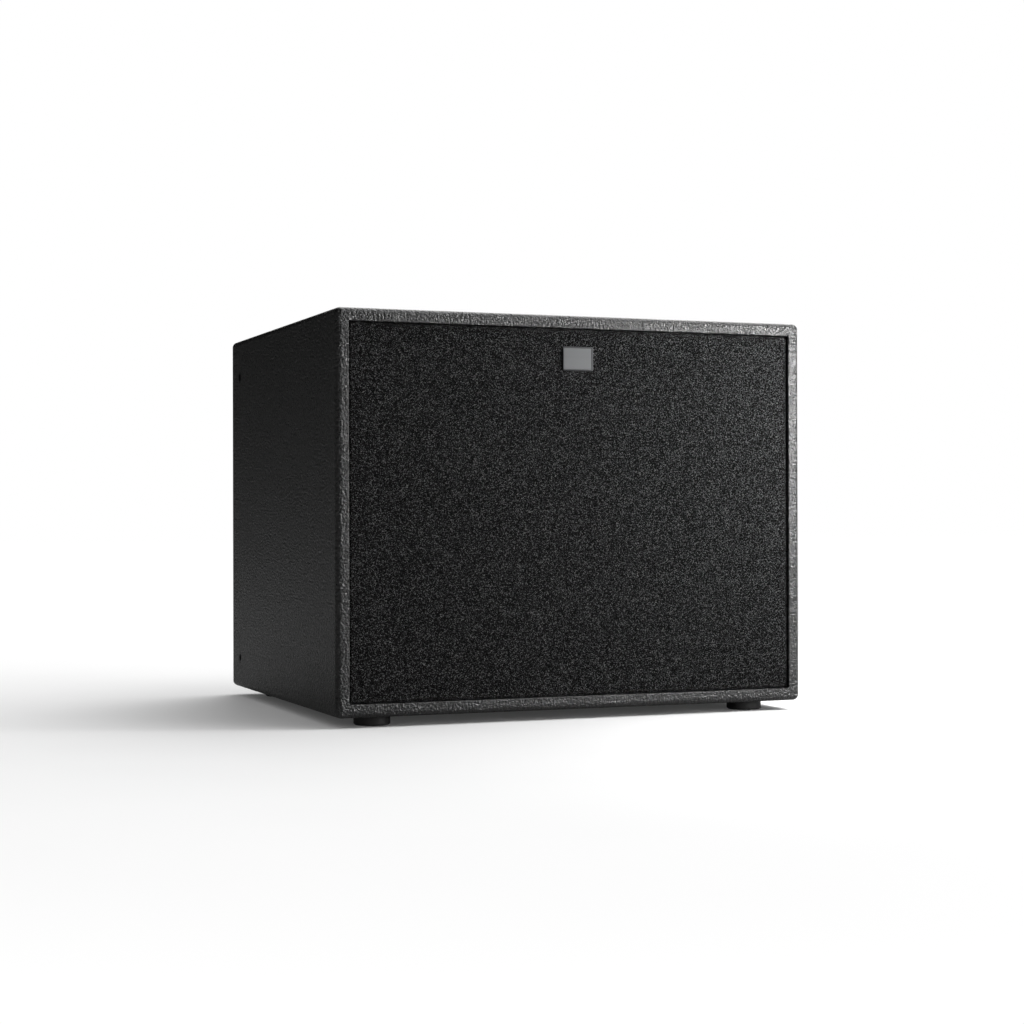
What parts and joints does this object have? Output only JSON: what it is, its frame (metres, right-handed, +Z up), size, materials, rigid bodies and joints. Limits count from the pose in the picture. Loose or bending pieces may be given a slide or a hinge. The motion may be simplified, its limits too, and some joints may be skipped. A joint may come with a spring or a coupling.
{
  "type": "subwoofer",
  "caption": "Compact powered subwoofer: rounded box with a textured coat, foam-fronted pull-off grille, long-throw driver, round port, rear amplifier plate and rubber feet.",
  "frame": {"origin": "on the floor under the middle of the cabinet", "axes": "+X to the right seen from the front, +Y from the front to the rear, +Z up"},
  "size_m": [0.42, 0.35, 0.3365],
  "materials": {
    "coated_ply": "black sprayed textured coat on birch ply",
    "painted_board": "black painted birch ply",
    "raw_ply": "bare birch ply",
    "wadding": "white polyester wadding",
    "port_plastic": "moulded black, fine grain",
    "foot_rubber": "black moulded rubber",
    "socket_rubber": "black soft rubber",
    "zinc_steel": "zinc plated",
    "black_screw": "black oxide steel",
    "grille_foam": "black open-cell acoustic foam",
    "grille_steel": "black powder-coated perforated steel",
    "peg_plastic": "black moulded",
    "badge_metal": "satin anodised",
    "basket_steel": "black powder coat",
    "gasket_rubber": "black cork-rubber",
    "surround_rubber": "black butyl rubber",
    "cone_paper": "black pressed pulp with light ribs",
    "cap_paper": "black pressed pulp",
    "spider_cloth": "phenolic-treated cotton",
    "former_aluminium": "thin rolled sheet",
    "coil_copper": "enamelled copper",
    "motor_steel": "black passivated steel",
    "ferrite": "ground ferrite",
    "terminal_board": "phenolic board with tin tabs",
    "wire_jacket": "flexible PVC",
    "amp_panel": "black satin powder coat",
    "heatsink_alloy": "black anodised extrusion",
    "circuit_laminate": "green solder mask",
    "connector_plastic": "natural nylon",
    "capacitor_sleeve": "black shrink sleeve",
    "device_epoxy": "black epoxy",
    "transformer_tape": "copper winding under yellow tape",
    "bright_steel": "turned, bright",
    "knob_plastic": "soft-touch black",
    "led_lens": "green lens",
    "jack_metal": "gold plated",
    "inlet_plastic": "black moulded",
    "rocker_plastic": "black gloss",
    "fuse_glass": "clear tube with nickel caps"
  },
  "bodies": {
    "root": {"top_panel": "coated_ply", "bottom_panel": "coated_ply", "left_panel": "coated_ply", "right_panel": "coated_ply", "baffle_board": "painted_board", "rear_board": "painted_board", "window_brace": "raw_ply", "wadding_top_bottom": "wadding", "wadding_sides": "wadding", "port_tube": "port_plastic", "rubber_feet": "foot_rubber", "grille_sockets": "socket_rubber", "amp_gasket": "socket_rubber", "foot_screws": "zinc_steel", "board_standoffs": "zinc_steel", "driver_screws": "black_screw", "amp_screws": "black_screw", "threaded_inserts": "black_screw", "driver_basket": "basket_steel", "driver_gasket": "gasket_rubber", "surround": "surround_rubber", "spider": "spider_cloth", "tinsel_leads": "coil_copper", "front_plate": "motor_steel", "yoke": "motor_steel", "magnet_ring": "ferrite", "driver_terminals": "terminal_board", "speaker_wires": "wire_jacket", "amp_plate": "amp_panel", "heatsink": "heatsink_alloy", "circuit_board": "circuit_laminate", "board_connector": "connector_plastic", "reservoir_capacitors": "capacitor_sleeve", "output_transistors": "device_epoxy", "gain_pot": "device_epoxy", "crossover_pot": "device_epoxy", "phase_switch": "device_epoxy", "toroid_transformer": "transformer_tape", "transformer_bolt": "bright_steel", "power_led": "led_lens", "line_jacks": "jack_metal", "mains_inlet": "inlet_plastic", "rocker_housing": "inlet_plastic"},
    "grille": {"grille_sheet": "grille_steel", "grille_foam": "grille_foam", "badge_plate": "badge_metal", "grille_pegs": "peg_plastic"},
    "cone_assembly": {"cone": "cone_paper", "dust_cap": "cap_paper", "coil_former": "former_aluminium", "voice_coil": "coil_copper"},
    "gain_control": {"gain_knob": "knob_plastic", "gain_shaft": "bright_steel"},
    "crossover_control": {"crossover_knob": "knob_plastic", "crossover_shaft": "bright_steel"},
    "phase_control": {"phase_slider": "knob_plastic"},
    "power_switch": {"power_rocker": "rocker_plastic"},
    "fuse_carrier": {"fuse_drawer": "inlet_plastic", "fuse": "fuse_glass"}
  },
  "joints": [
    {"name": "grille_pull", "type": "slide", "parent": "root", "child": "grille", "axis": [0, -1, 0], "range_m": [0, 0.06]},
    {"name": "cone_travel", "type": "slide", "parent": "root", "child": "cone_assembly", "axis": [0, -1, 0], "range_m": [-0.008, 0.008], "stiffness_N_per_m": 2100, "deforming": ["surround", "spider", "tinsel_leads"]},
    {"name": "gain_turn", "type": "hinge", "parent": "root", "child": "gain_control", "pos_m": [0.096, 0.165, 0.1665], "axis": [0, -1, 0], "range_deg": [-150, 150]},
    {"name": "crossover_turn", "type": "hinge", "parent": "root", "child": "crossover_control", "pos_m": [0.06, 0.165, 0.1665], "axis": [0, -1, 0], "range_deg": [-150, 150]},
    {"name": "phase_slide", "type": "slide", "parent": "root", "child": "phase_control", "axis": [1, 0, 0], "range_m": [0, 0.004]},
    {"name": "power_rock", "type": "hinge", "parent": "root", "child": "power_switch", "pos_m": [-0.094, 0.158, 0.1185], "axis": [-1, 0, 0], "range_deg": [0, 18]},
    {"name": "fuse_drawer_slide", "type": "slide", "parent": "root", "child": "fuse_carrier", "axis": [0, 1, 0], "range_m": [0, 0.014]}
  ]
}
